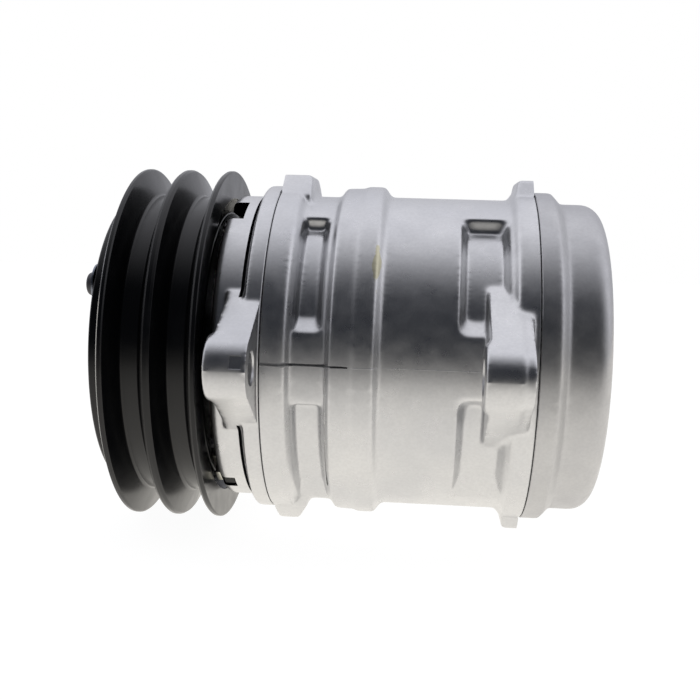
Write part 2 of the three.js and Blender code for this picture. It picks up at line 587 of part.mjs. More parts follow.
const REED_SCREW_Z = -22; // screw of the discharge valve
function fixedScroll() {
  const shell = turned([
    [94.8, 40], [94.8, 43], [WRAP_BACK, 43], [WRAP_BACK, BORE_R - GAP], [134, BORE_R - GAP], [134, 0],
    [WRAP_BACK, 0], [WRAP_BACK, 40]]);
  const wrap = spiralWall(WRAP_FRONT + GAP, WRAP_BACK + 0.5, Math.PI);
  const inlets = [arcSlot(94, 104, 38, 45, 60, 100, 3), arcSlot(94, 104, 38, 45, 240, 280, 3)];
  const port = rodAt(120, 140, 3, 0, 0);
  const screwHole = rodAt(127, 140, 2.2, 0, REED_SCREW_Z);
  return cut(shell.add(wrap), ...inlets, port, screwHole, ...boltHoles(120, 140, BOLT_R + GAP));
}
add(housing, "fixed_scroll", fixedScroll(), machinedAluminium);
const pinHoles = pinAngles.map((a) => rodAt(88, 96, PIN_R + GAP, ...polar(PIN_RING_R, a)));
const thrustRing = ring(90.2, 94.2, 20.5, BORE_R - GAP, ROUND);
add(housing, "thrust_plate", cut(thrustRing, ...pinHoles, ...boltHoles(88, 96, BOLT_R + GAP)), brightSteel);
pinAngles.forEach((angle, i) => {
  const pin = rodAt(90.2, 98.2, PIN_R, ...polar(PIN_RING_R, angle));
  add(housing, `anti_rotation_pin_${i + 1}`, pin, brightSteel);
});

// Discharge valve on the back of the fixed scroll: reed, stop plate and screw.
function strap(x0, x1, halfWidth, from, to, holeR) {
  return cut(block(x0, x1, -halfWidth, halfWidth, from, to), rodAt(x0 - 1, x1 + 1, holeR, 0, REED_SCREW_Z));
}
add(housing, "discharge_reed", strap(134.3, 134.8, 5, -27, 5, 2.4), springSteel);
add(housing, "reed_stop", strap(135.1, 137.6, 5, -27, 4, 2.4), brightSteel);
add(housing, "reed_screw", joined(
  rodAt(128, 138.1, 1.9, 0, REED_SCREW_Z), prism(hexagon(4.4, 0, REED_SCREW_Z), 137.9, 141.5)), zincSteel);

compressor.position.x = -(REAR_END + SHAFT_FRONT) / 2;

export default compressor;
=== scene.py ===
# Automotive AC compressor: the detailed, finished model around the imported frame.
# Pieces are drawn in millimetres, with X as a station along the shaft, and placed in metres.
import json
import math

import bmesh
import bpy
from mathutils import Euler, Matrix, Vector

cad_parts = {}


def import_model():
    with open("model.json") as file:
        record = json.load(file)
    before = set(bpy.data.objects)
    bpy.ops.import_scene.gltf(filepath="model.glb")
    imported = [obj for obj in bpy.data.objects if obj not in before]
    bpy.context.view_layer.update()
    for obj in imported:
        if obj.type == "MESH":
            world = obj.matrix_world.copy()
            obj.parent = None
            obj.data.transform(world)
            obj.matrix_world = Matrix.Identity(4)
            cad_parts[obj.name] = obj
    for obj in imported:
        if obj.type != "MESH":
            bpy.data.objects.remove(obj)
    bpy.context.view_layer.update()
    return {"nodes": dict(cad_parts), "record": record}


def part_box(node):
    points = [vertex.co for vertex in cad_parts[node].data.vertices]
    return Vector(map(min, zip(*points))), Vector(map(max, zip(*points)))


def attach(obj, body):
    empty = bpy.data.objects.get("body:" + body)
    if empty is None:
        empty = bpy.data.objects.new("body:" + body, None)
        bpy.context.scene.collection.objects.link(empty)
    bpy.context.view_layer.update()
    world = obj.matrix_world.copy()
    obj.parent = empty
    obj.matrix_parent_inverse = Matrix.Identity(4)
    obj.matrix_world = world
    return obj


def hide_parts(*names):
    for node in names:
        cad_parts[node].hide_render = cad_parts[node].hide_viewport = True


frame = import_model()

# stations along the shaft
NECK_FRONT = 39.2
NECK_GROOVE = (49.0, 50.3)
FRONT_EAR = (42.6, 56.7)  # the front ears' bosses
FRONT_JOINT = 57.3
SHELL_STEP = 134.3  # where the casing's bore steps down
REAR_EAR = (131.4, 143.6)  # the rear ears' bosses
REAR_JOINT = 150.4
REAR_END = 175.5
REAR_FACE = REAR_END - 0.25  # the rear face once it is machined
PORT_SEAT = REAR_END - 2.2
PLUG_SEAT = 170
BOLT_SEAT = 167
PAST_REAR = 185  # clear of the rear face

# radii about the shaft
NECK_R = 58.2
RING_R = 62.3
BARREL_R = 59.1
BAND_R = 58.7
BEAD_R = 62.9
BORE_R = 50.5
POCKET_R = 54.3  # floors of the cast pockets
PULLEY_R = 67.5
GROOVE_R = 57.5  # bottoms of the belt grooves
BOLT_RING_R = 46.6
BOLT_ANGLES = [30 + 60 * i for i in range(6)]
BOLT_HOLE_R = 3.3

# ears and lugs
EAR_Y = 73
EAR_R = 11
EAR_HOLE_R = 5.25
EAR_ROOT = (42, 30.5)  # (y, z) of the corner where an ear leaves the shell
PAD_Z = 66.3
PAD_HALF = 10.5

GAP = 0.3
FAR = 100  # beyond every part, for cutters
STATION_0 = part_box("rear_head")[1].x * 1000 - REAR_END
TO_FRAME = Matrix.Scale(0.001, 4) @ Matrix.Translation((STATION_0, 0, 0))
FLOOR_Z = -PULLEY_R / 1000

# ---- solids in millimetres ------------------------------------------------------------------


def polar(radius, degrees):
    """(y, z) at an angle about the shaft, from the -Y side towards +Z."""
    angle = math.radians(degrees)
    return -radius * math.cos(angle), radius * math.sin(angle)


def to_object(bm, name="part"):
    """The mesh as an object in the scene, with its faces turned outwards."""
    bmesh.ops.recalc_face_normals(bm, faces=bm.faces)
    mesh = bpy.data.meshes.new(name)
    bm.to_mesh(mesh)
    bm.free()
    obj = bpy.data.objects.new(name, mesh)
    bpy.context.scene.collection.objects.link(obj)
    return obj


def fillet(corners, steps=5):
    """A closed outline of corners (a, b) or (a, b, radius) as points, those with a radius rounded."""
    most = 0.47  # of a side that one round may take
    beyond = 1.15  # a point on each long side, this far along past the round, keeps its shading flat
    out = []
    count = len(corners)
    for i, corner in enumerate(corners):
        p = Vector(corner[:2])
        radius = corner[2] if len(corner) > 2 else 0
        if radius == 0:
            out.append(tuple(p))
            continue
        a = Vector(corners[i - 1][:2]) - p
        b = Vector(corners[(i + 1) % count][:2]) - p
        half = a.angle(b) / 2
        reach = min(radius / math.tan(half), most * a.length, most * b.length)
        r = reach * math.tan(half)
        centre = p + (a.normalized() + b.normalized()).normalized() * (r / math.sin(half))
        start = p + a.normalized() * reach - centre
        end = p + b.normalized() * reach - centre
        sweep = math.pi - 2 * half
        if a.length > 3 * reach:
            out.append(tuple(p + a.normalized() * reach * beyond))
        for k in range(steps + 1):
            t = k / steps
            v = (math.sin((1 - t) * sweep) * start + math.sin(t * sweep) * end) / math.sin(sweep)
            out.append(tuple(centre + v))
        if b.length > 3 * reach:
            out.append(tuple(p + b.normalized() * reach * beyond))
    return out


def lathe(corners, segments=128, steps=5, centre=(0, 0), relief=None):
    """A solid of revolution about an axis parallel to X, from (station, radius) corners.

    relief(station, radius, turn) adds to the radius, as for a thread.
    """
    profile = fillet(corners, steps)
    bm = bmesh.new()
    rings = []
    for x, r in profile:
        if r < 1e-6:
            rings.append([bm.verts.new((x, centre[0], centre[1]))])
            continue
        ring = []
        for k in range(segments):
            turn = 2 * math.pi * k / segments
            radius = r + (relief(x, r, turn) if relief else 0)
            y = centre[0] - radius * math.cos(turn)
            ring.append(bm.verts.new((x, y, centre[1] + radius * math.sin(turn))))
        rings.append(ring)
    for a, b in zip(rings, rings[1:] + rings[:1]):
        if len(a) == 1 and len(b) == 1:
            continue
        for k in range(segments):
            m = (k + 1) % segments
            if len(a) == 1:
                bm.faces.new((a[0], b[m], b[k]))
            elif len(b) == 1:
                bm.faces.new((a[k], a[m], b[0]))
            else:
                bm.faces.new((a[k], a[m], b[m], b[k]))
    return to_object(bm)


def inset(outline, distance):
    """An outline of (y, z) points moved inwards; its points run either way round."""
    area = sum(a[0] * b[1] - b[0] * a[1] for a, b in zip(outline, outline[1:] + outline[:1]))
    side = 1 if area > 0 else -1
    moved = []
    count = len(outline)
    for i in range(count):
        p = Vector(outline[i])
        before = (p - Vector(outline[i - 1])).normalized()
        after = (Vector(outline[(i + 1) % count]) - p).normalized()
        n0 = Vector((-before.y, before.x)) * side
        n1 = Vector((-after.y, after.x)) * side
        miter = (n0 + n1) / max(0.4, 1 + n0.dot(n1))
        moved.append(tuple(p + miter * distance))
    return moved


def skin(rings):
    """A solid through rings of (x, y, z) points, all with the same number of points."""
    bm = bmesh.new()
    rows = [[bm.verts.new(point) for point in ring] for ring in rings]
    for a, b in zip(rows, rows[1:]):
        for k in range(len(a)):
            m = (k + 1) % len(a)
            bm.faces.new((a[k], a[m], b[m], b[k]))
    bm.faces.new(rows[0])
    bm.faces.new(rows[-1][::-1])
    return to_object(bm)


def loft(levels):
    """A solid through flat outlines across the shaft: levels of (station, outline)."""
    return skin([[(x, y, z) for y, z in outline] for x, outline in levels])


def prism(outline, x0, x1, edge=0.0, steps=3):
    """An outline in (y, z) extruded from x0 to x1, its edges rounded by edge."""
    if edge == 0:
        return loft([(x0, outline), (x1, outline)])
    angles = [math.pi / 2 * k / steps for k in range(steps + 1)]
    front = [(x0 + edge * (1 - math.cos(t)), inset(outline, edge * (1 - math.sin(t)))) for t in angles]
    back = [(x1 - edge * (1 - math.sin(t)), inset(outline, edge * (1 - math.cos(t)))) for t in angles]
    return loft(front + back)


def rod(x0, x1, radius, y=0.0, z=0.0, count=48, chamfer=0.0):
    """A round bar; chamfer cuts both edges."""
    if chamfer == 0:
        return lathe([(x0, 0), (x0, radius), (x1, radius), (x1, 0)], count, centre=(y, z))
    corners = [(x0, 0), (x0, radius - chamfer), (x0 + chamfer, radius),
               (x1 - chamfer, radius), (x1, radius - chamfer), (x1, 0)]
    return lathe(corners, count, centre=(y, z))


def countersink(x, radius, depth, y, z, towards=1):
    """A cutter that breaks the edge of a hole where it comes out at station x."""
    past = 0.5
    corners = [(x - towards * depth, 0), (x - towards * depth, radius),
               (x + towards * past, radius + depth + past), (x + towards * past, 0)]
    return lathe(corners, 48, centre=(y, z))


def tube(x0, x1, inner, outer, segments=96):
    """A ring about the shaft."""
    return lathe([(x0, inner), (x0, outer), (x1, outer), (x1, inner)], segments)


def angles_between(start, end, steps):
    return [start + (end - start) * i / steps for i in range(steps + 1)]


def arc_outline(inner, outer, start, end, steps, corner=0.0):
    """A sector of a ring, its four corners rounded by corner."""
    angles = angles_between(start, end, steps)
    points = [polar(outer, a) for a in angles] + [polar(inner, a) for a in reversed(angles)]
    if corner:
        ends = {0, steps, steps + 1, 2 * steps + 1}
        rounded = [(*p, corner) if i in ends else p for i, p in enumerate(points)]
        return fillet(rounded, 4)
    return points


def slot_outline(inner, outer, start, end):
    """An arc-shaped slot with full round ends."""
    middle, half = (inner + outer) / 2, (outer - inner) / 2
    angles = angles_between(start, end, 24)
    points = [polar(outer, a) for a in angles]
    for a, way in ((end, 1), (start, -1)):
        y, z = polar(middle, a)
        radial = Vector((y, z)).normalized()
        along = Vector(polar(1, a + 90 * way)).normalized()
        for k in range(1, 8):
            t = math.pi * k / 8
            p = Vector((y, z)) + radial * half * math.cos(t) * way + along * half * math.sin(t)
            points.append(tuple(p))
        if way == 1:
            points += [polar(inner, b) for b in reversed(angles)]
    return points


def combine(obj, others, operation):
    """Unites, cuts or intersects the object with others, which are used up."""
    for other in others:
        modifier = obj.modifiers.new("combine", "BOOLEAN")
        modifier.operation = operation
        modifier.solver = "MANIFOLD"
        modifier.object = other
    settle(obj)
    for other in others:
        bpy.data.objects.remove(other)
    return obj


def joined(obj, *others):
    return combine(obj, others, "UNION")


def cut(obj, *others):
    return combine(obj, others, "DIFFERENCE")


def settle(obj):
    """Turns the object's modifiers into its mesh."""
    graph = bpy.context.evaluated_depsgraph_get()
    mesh = bpy.data.meshes.new_from_object(obj.evaluated_get(graph))
    obj.modifiers.clear()
    old = obj.data
    obj.data = mesh
    bpy.data.meshes.remove(old)
    return obj


def soften(obj, voxel, rounds):
    """Blends a body into the soft fillets of a casting."""
    remesh = obj.modifiers.new("remesh", "REMESH")
    remesh.mode = "VOXEL"
    remesh.voxel_size = voxel
    smooth = obj.modifiers.new("smooth", "SMOOTH")
    smooth.factor = 0.5
    smooth.iterations = rounds
    return settle(obj)


def on_both_sides(obj):
    """The object and its mirror image on the far side."""
    mesh = obj.data.copy()
    mesh.transform(Matrix.Diagonal((1, -1, 1, 1)))
    mesh.flip_normals()
    copy = bpy.data.objects.new(obj.name, mesh)
    bpy.context.scene.collection.objects.link(copy)
    return [obj, copy]


def sharpen_borders(mesh):
    """Makes the edges between two finishes sharp, so that a machined face shades flat."""
    bm = bmesh.new()
    bm.from_mesh(mesh)
    for edge in bm.edges:
        if len({face.material_index for face in edge.link_faces}) > 1:
            edge.smooth = False
    bm.to_mesh(mesh)
    bm.free()


def piece(obj, name, body, material, extras=()):
    """Places a finished solid in the frame. extras are (material, test of a face in millimetres)."""
    sharp_from = math.radians(35)
    mesh = obj.data
    mesh.materials.clear()
    for finish in (material, *(extra[0] for extra in extras)):
        mesh.materials.append(finish)
    for face in mesh.polygons:
        face.material_index = 0
        for index, (_, test) in enumerate(extras, 1):
            if test(face.center, face.normal):
                face.material_index = index
    mesh.transform(TO_FRAME)
    mesh.shade_smooth()
    mesh.set_sharp_from_angle(angle=sharp_from)
    if extras:
        sharpen_borders(mesh)
    obj.name = name
    mesh.name = name
    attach(obj, body)
    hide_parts(name)
    return obj


# ---- materials --------------------------------------------------------------------------------

MIX_A, MIX_B, MIX_RESULT = 6, 7, 2  # the colour sockets of a mix node


class Finish:
    """A procedural finish on the Principled shader, in the object's own coordinates."""

    def __init__(self, name, metallic, specular=0.5):
        self.material = bpy.data.materials.new(name)
        self.material.use_nodes = True
        self.nodes = self.material.node_tree.nodes
        self.links = self.material.node_tree.links
        self.shader = self.nodes["Principled BSDF"]
        self.shader.inputs["Metallic"].default_value = metallic
        self.shader.inputs["Specular IOR Level"].default_value = specular
        self.place = self.nodes.new("ShaderNodeTexCoord").outputs["Object"]
        self.height = None

    def noise(self, size, detail=3.0, stretch=(1, 1, 1)):
        """Noise with features of that size in metres."""
        where = self.place
        if stretch != (1, 1, 1):
            mapping = self.nodes.new("ShaderNodeMapping")
            mapping.inputs["Scale"].default_value = stretch
            self.links.new(where, mapping.inputs["Vector"])
            where = mapping.outputs["Vector"]
        node = self.nodes.new("ShaderNodeTexNoise")
        node.inputs["Scale"].default_value = 1 / size
        node.inputs["Detail"].default_value = detail
        self.links.new(where, node.inputs["Vector"])
        return node.outputs["Fac"]

    def math(self, operation, a, b=None):
        """The sum, product or other operation on one or two numbers or sockets."""
        node = self.nodes.new("ShaderNodeMath")
        node.operation = operation
        for value, socket in ((a, node.inputs[0]), (b, node.inputs[1])):
            if value is None:
                continue
            if isinstance(value, (int, float)):
                socket.default_value = value
            else:
                self.links.new(value, socket)
        return node.outputs[0]

    def spread(self, value, low, high, out_low, out_high):
        """The value's range from low to high, stretched to the range given."""
        node = self.nodes.new("ShaderNodeMapRange")
        node.inputs["From Min"].default_value = low
        node.inputs["From Max"].default_value = high
        node.inputs["To Min"].default_value = out_low
        node.inputs["To Max"].default_value = out_high
        self.links.new(value, node.inputs["Value"])
        return node.outputs["Result"]

    def ramp(self, value, stops):
        """Colours by value, with stops of (position, colour)."""
        node = self.nodes.new("ShaderNodeValToRGB")
        elements = node.color_ramp.elements
        while len(elements) < len(stops):
            elements.new(0.5)
        for element, (position, colour) in zip(elements, stops):
            element.position = position
            element.color = (*colour, 1)
        self.links.new(value, node.inputs["Fac"])
        return node.outputs["Color"]

    def mix(self, factor, a, b):
        """b over a by factor; a and b are colours or sockets."""
        node = self.nodes.new("ShaderNodeMix")
        node.data_type = "RGBA"
        self.links.new(factor, node.inputs["Factor"])
        for value, socket in ((a, node.inputs[MIX_A]), (b, node.inputs[MIX_B])):
            if isinstance(value, tuple):
                socket.default_value = (*value, 1)
            else:
                self.links.new(value, socket)
        return node.outputs[MIX_RESULT]

    def colour(self, socket):
        self.links.new(socket, self.shader.inputs["Base Color"])

    def roughness(self, value, low, high):
        self.links.new(self.spread(value, 0.3, 0.7, low, high), self.shader.inputs["Roughness"])

    def bump(self, value, strength, depth):
        node = self.nodes.new("ShaderNodeBump")
        node.inputs["Strength"].default_value = strength
        node.inputs["Distance"].default_value = depth
        self.links.new(value, node.inputs["Height"])
        if self.height:
            self.links.new(self.height, node.inputs["Normal"])
        self.height = node.outputs["Normal"]
        self.links.new(self.height, self.shader.inputs["Normal"])

    def axes(self):
        node = self.nodes.new("ShaderNodeSeparateXYZ")
        self.links.new(self.place, node.inputs[0])
        return node.outputs

    def radius(self):
        """Distance from the shaft's axis."""
        _, y, z = self.axes()
        squares = self.math("ADD", self.math("MULTIPLY", y, y), self.math("MULTIPLY", z, z))
        return self.math("SQRT", squares)


STAIN_PLACE = ((95.2 + STATION_0) / 1000, -0.0512, 0.0332)  # behind the bead, near side
STAIN_REACH = (0.0014, 0.008, 0.0085)
STAIN_COLOUR = (0.6, 0.57, 0.4)


def cast_finish(name, dark, light, rough_low, rough_high, stained=False):
    """As-cast aluminium, with one yellowish stain if stained."""
    finish = Finish(name, metallic=1.0)
    cloud = finish.noise(0.045, 4)
    grain = finish.noise(0.0011, 2)
    skin = finish.noise(0.006, 4)
    tint = finish.ramp(cloud, [(0.3, dark), (0.7, light)])
    speck = finish.spread(grain, 0.35, 0.65, 0.0, 0.16)
    tint = finish.mix(speck, tint, tuple(c * 0.72 for c in dark))
    if stained:
        edge = finish.noise(0.005, 4)
        stain = None
        for value, middle, reach in zip(finish.axes(), STAIN_PLACE, STAIN_REACH):
            offset = finish.math("DIVIDE", finish.math("SUBTRACT", value, middle), reach)
            square = finish.math("MULTIPLY", offset, offset)
            stain = square if stain is None else finish.math("ADD", stain, square)
        stain = finish.math("ADD", stain, finish.spread(edge, 0.3, 0.7, -0.8, 0.8))
        cover = finish.spread(stain, 0.75, 1.05, 0.9, 0.0)
        tint = finish.mix(cover, tint, STAIN_COLOUR)
    finish.colour(tint)
    finish.roughness(skin, rough_low, rough_high)
    finish.bump(skin, 0.25, 0.00012)
    finish.bump(grain, 0.35, 0.00003)
    return finish.material


cast_aluminium = cast_finish(
    "cast_aluminium", (0.60, 0.605, 0.62), (0.73, 0.73, 0.73), 0.26, 0.36, stained=True)
rear_cast = cast_finish("rear_cast_aluminium", (0.48, 0.48, 0.495), (0.585, 0.585, 0.585), 0.32, 0.42)


def turned_finish(name, dark, light, rough_low, rough_high):
    """Machined metal with fine rings about the shaft."""
    pitch = 0.0006
    finish = Finish(name, metallic=1.0)
    radius = finish.radius()
    rings = finish.math("SINE", finish.math("MULTIPLY", radius, 2 * math.pi / pitch))
    wander = finish.noise(0.02, 3)
    finish.colour(finish.ramp(wander, [(0.3, dark), (0.7, light)]))
    finish.roughness(finish.noise(0.004, 3), rough_low, rough_high)
    finish.bump(rings, 0.12, 0.00001)
    return finish.material


machined_aluminium = turned_finish("machined_aluminium", (0.66, 0.665, 0.675), (0.76, 0.76, 0.765), 0.2, 0.32)


def paint_finish(name, dark, light, rough_low, rough_high, specular, dusty):
    """Paint with an uneven colour and a little dust."""
    finish = Finish(name, metallic=0.0, specular=specular)
    cloud = finish.noise(0.03, 4)
    peel = finish.noise(0.0016, 2)
    dust = finish.noise(0.009, 5)
    tint = finish.ramp(cloud, [(0.3, dark), (0.75, light)])
    haze = finish.spread(dust, 0.5, 0.8, 0.0, 0.02)
    finish.colour(finish.mix(haze, tint, dusty))
    finish.roughness(dust, rough_low, rough_high)
    finish.bump(peel, 0.2, 0.00003)
    return finish.material


black_paint = paint_finish(
    "black_paint", (0.0022, 0.0025, 0.0032), (0.0042, 0.0046, 0.0056), 0.18, 0.27, 0.42, (0.13, 0.13, 0.135))
# Dull near-black for the recess behind the coil: painted shade, standing in for the shade under the pulley.
painted_recess_shade = paint_finish(
    "painted_recess_shade", (0.002, 0.0022, 0.003), (0.005, 0.0052, 0.006), 0.5, 0.7, 0.08, (0.02, 0.02, 0.02))
# Dark grey for the neck groove: painted shade of the groove and of the concave foot of the ring beside it.
painted_groove_shade = paint_finish(
    "painted_groove_shade", (0.016, 0.018, 0.023), (0.03, 0.033, 0.04), 0.5, 0.7, 0.2, (0.05, 0.05, 0.055))


def plated_finish(name, dark, light, rough_low, rough_high, stretch=(1, 1, 1)):
    """Bare or plated metal with faint streaks, drawn out along the axes that stretch makes small."""
    finish = Finish(name, metallic=1.0)
    streak = finish.noise(0.003, 4, stretch)
    cloud = finish.noise(0.012, 3)
    tint = finish.ramp(cloud, [(0.3, dark), (0.7, light)])
    finish.colour(finish.mix(finish.spread(streak, 0.35, 0.7, 0.0, 0.35), tint, dark))
    finish.roughness(streak, rough_low, rough_high)
    finish.bump(streak, 0.15, 0.00002)
    return finish.material


dark_steel = plated_finish("dark_steel", (0.045, 0.045, 0.05), (0.1, 0.1, 0.108), 0.32, 0.5)
bright_steel = plated_finish("bright_steel", (0.5, 0.505, 0.52), (0.64, 0.64, 0.65), 0.14, 0.28, (0.15, 1, 1))
zinc_steel = plated_finish("zinc_steel", (0.5, 0.49, 0.42), (0.66, 0.655, 0.6), 0.24, 0.4)
spring_steel = plated_finish("spring_steel", (0.16, 0.18, 0.22), (0.3, 0.32, 0.36), 0.2, 0.36, (1, 1, 0.2))
brass = plated_finish("brass", (0.55, 0.4, 0.13), (0.72, 0.56, 0.24), 0.22, 0.36)


def rubber_finish():
    finish = Finish("black_rubber", metallic=0.0, specular=0.35)
    grain = finish.noise(0.0008, 3)
    cloud = finish.noise(0.01, 3)
    finish.colour(finish.ramp(cloud, [(0.3, (0.012, 0.012, 0.012)), (0.7, (0.026, 0.026, 0.025))]))
    finish.roughness(cloud, 0.55, 0.72)
    finish.bump(grain, 0.3, 0.00004)
    return finish.material


def wire_finish():
    """Enamelled wire, wound round the shaft."""
    wire = 0.0008
    finish = Finish("copper", metallic=1.0)
    x, _, _ = finish.axes()
    turns = finish.math("SINE", finish.math("MULTIPLY", x, 2 * math.pi / wire))
    cloud = finish.noise(0.006, 3)
    finish.colour(finish.ramp(cloud, [(0.3, (0.42, 0.16, 0.07)), (0.7, (0.62, 0.27, 0.12))]))
    finish.roughness(cloud, 0.25, 0.38)
    finish.bump(turns, 0.8, 0.00015)
    return finish.material


black_rubber = rubber_finish()
copper = wire_finish()
FINISHES = {
    "cast_aluminium": cast_aluminium, "machined_aluminium": machined_aluminium, "black_steel": black_paint,
    "dark_steel": dark_steel, "bright_steel": bright_steel, "zinc_steel": zinc_steel,
    "spring_steel": spring_steel, "copper": copper, "black_rubber": black_rubber, "brass": brass,
}
for part in frame["record"]["subparts"]:
    node = frame["nodes"][part["node"]]
    node.data.materials.clear()
    node.data.materials.append(FINISHES[part["material_slot"]])

# ---- castings -----------------------------------------------------------------------------------


def ear_outline(end_radius):
    """The near ear seen along the shaft: straight flanks tangent to a round end."""
    root_y, root_z = EAR_ROOT
    reach = math.hypot(EAR_Y - root_y, root_z)
    tangent = math.atan2(root_z, EAR_Y - root_y) + math.acos(end_radius / reach)
    points = [(-root_y, -root_z), (-root_y, root_z)]
    steps = 28
    for k in range(steps + 1):
        angle = tangent + 2 * (math.pi - tangent) * k / steps
        points.append((-EAR_Y + end_radius * math.cos(angle), end_radius * math.sin(angle)))
    return points


def ears(web, boss, tail):
    """A pair of ears, from the stations of the web, its round boss and its slimmer tail."""
    near = joined(
        prism(ear_outline(EAR_R), *web),
        rod(*boss, EAR_R, -EAR_Y, 0, chamfer=0.6),
        prism(ear_outline(EAR_R - 1), *tail))
    return on_both_sides(near)


def ear_holes(x0, x1):
    return [rod(x0, x1, EAR_HOLE_R, side * EAR_Y, 0) for side in (-1, 1)]


def lug(root, top, foot, side=1):
    """A flat lug with sloping sides, at the top or (side -1) the bottom; root and top are stations."""
    inside = 50
    shoulder = math.sqrt(RING_R ** 2 - foot ** 2) - GAP
    rings = []
    for z, (x0, x1), half in ((inside, root, foot), (shoulder, root, foot), (PAD_Z, top, PAD_HALF)):
        corners = ((x0, -half), (x1, -half), (x1, half), (x0, half))
        rings.append([(x, y, side * z) for x, y in corners])
    return skin(rings)


def pocket(x0, x1, start, end, drafts=(2.4, 2.4), corner=3.0, ramps=(3.0, 3.0)):
    """A pair of cutters for cast pockets between two angles.

    drafts are the lean of the two sides in millimetres, corner the radius of the corners, and
    ramps the slope of the two ends in degrees.
    """
    top = 66.0
    surface = BARREL_R
    lean_above = (surface - top) / (surface - POCKET_R)
    ramp_above = 1.4
    rows = 28
    rings = []
    for i in range(rows + 1):
        t = 0.5 - 0.5 * math.cos(math.pi * i / rows)
        ring = []
        for radius, lean, spread in ((POCKET_R, 1, -1), (top, lean_above, ramp_above)):
            first, last = start - spread * ramps[0], end + spread * ramps[1]
            angle = first + (last - first) * t
            length = math.radians(last - first) * surface
            near_end = min(t, 1 - t) * length
            bow = 0.0
            if near_end < corner:
                bow = corner - math.sqrt(max(0.0, corner ** 2 - (corner - near_end) ** 2))
            for x in (x0 + drafts[0] * lean + bow, x1 - drafts[1] * lean - bow):
                ring.append((x, *polar(radius, angle)))
        low0, low1, high0, high1 = ring
        rings.append([low0, low1, high1, high0])
    return on_both_sides(skin(rings))


def bolt_holes(x0, x1):
    return [rod(x0, x1, BOLT_HOLE_R, *polar(BOLT_RING_R, a), 24) for a in BOLT_ANGLES]


def machined_at(*stations):
    """Faces that lie flat across the shaft at one of these stations."""
    def test(centre, normal):
        return abs(normal.x) > 0.99 and any(abs(centre.x - x) < 0.05 for x in stations)
    return test


FRONT_MACHINED = (57, 62, 77, 5.6)  # joint face, spigot, bearing seat and nose


def front_head():
    """The front head: nose for the clutch, recess for the coil, neck, joint face and spigot."""
    body = lathe([
        (5.6, 0), (5.6, 17.5, 0.6), (36, 17.5), (36, 27), (40, 27), (40, 28), (46, 30), (46, 52),
        (NECK_FRONT, 53.5), (NECK_FRONT, NECK_R, 3.0), (50, NECK_R), (51.3, RING_R, 1.0), (60, RING_R),
        (60, 0),
    ], 192)
    start, end = FRONT_EAR
    body = joined(body, *ears((start + 2.2, end), FRONT_EAR, (50, end)))
    soften(body, 0.7, 6)
    spigot_r = BORE_R - GAP
    trim = [(57, spigot_r), (57, RING_R - 0.3), (56.6, RING_R + 0.1), (56.6, FAR), (70, FAR), (70, spigot_r)]
    body = cut(body, lathe(trim, 192))
    spigot = [(58, 0), (58, spigot_r), (62, spigot_r, 0.5), (62, 40), (77, 40, 0.5), (77, 0)]
    body = joined(body, lathe(spigot, 128))
    neck_groove = tube(*NECK_GROOVE, NECK_R - 3, 61, 192)
    bore = lathe([
        (0, 0), (0, 14.5), (27, 14.5), (27, 15.8), (46, 15.8), (46, 20), (60, 20), (60, 35.3), (80, 35.3),
        (80, 0),
    ], 64)
    lead_notch = prism(arc_outline(51, 62, -59, -51, 8), 38, 45)
    pin_notch = prism(arc_outline(51, 62, 57, 71, 12), 38, 45.5)
    sinks = [countersink(x, EAR_HOLE_R, 0.7, side * EAR_Y, 0, way)
             for side in (-1, 1) for x, way in ((start, -1), (end, 1))]
    seal_groove = tube(55.1, FRONT_JOINT, 54, 57, 128)
    return cut(
        body, bore, neck_groove, pin_notch, lead_notch, *ear_holes(40, 60), *sinks, *bolt_holes(48, 70),
        seal_groove, ear_recess(51.2, 55.2, 0.8, 5.2))


def ear_recess(x0, x1, z0, z1):
    """A cutter for the small plain recess on the near front ear's end."""
    rings = []
    for level, shrink in ((-1.5, -0.4), (0.9, 0.2)):
        corners = ((x0 + shrink, z0 + shrink), (x1 - shrink, z0 + shrink),
                   (x1 - shrink, z1 - shrink), (x0 + shrink, z1 - shrink))
        rings.append([(x, level - EAR_Y - math.sqrt(EAR_R ** 2 - z ** 2), z) for x, z in corners])
    return skin(rings)


def in_coil_recess(centre, normal):
    """The recess behind the clutch coil, which takes near-black painted shade."""
    return NECK_FRONT + 0.6 < centre.x < 46.4 and 18 < math.hypot(centre.y, centre.z) < 57


def in_neck_groove(centre, normal):
    """The groove round the neck, which takes dark grey painted shade."""
    start, end = NECK_GROOVE
    return start - 0.01 < centre.x < end + 0.01 and 54 < math.hypot(centre.y, centre.z) < 59


# The recess behind the coil and the groove round the neck take painted shade.
piece(front_head(), "front_head", "housing", cast_aluminium,
      [(machined_aluminium, machined_at(*FRONT_MACHINED)), (painted_recess_shade, in_coil_recess),
       (painted_groove_shade, in_neck_groove)])


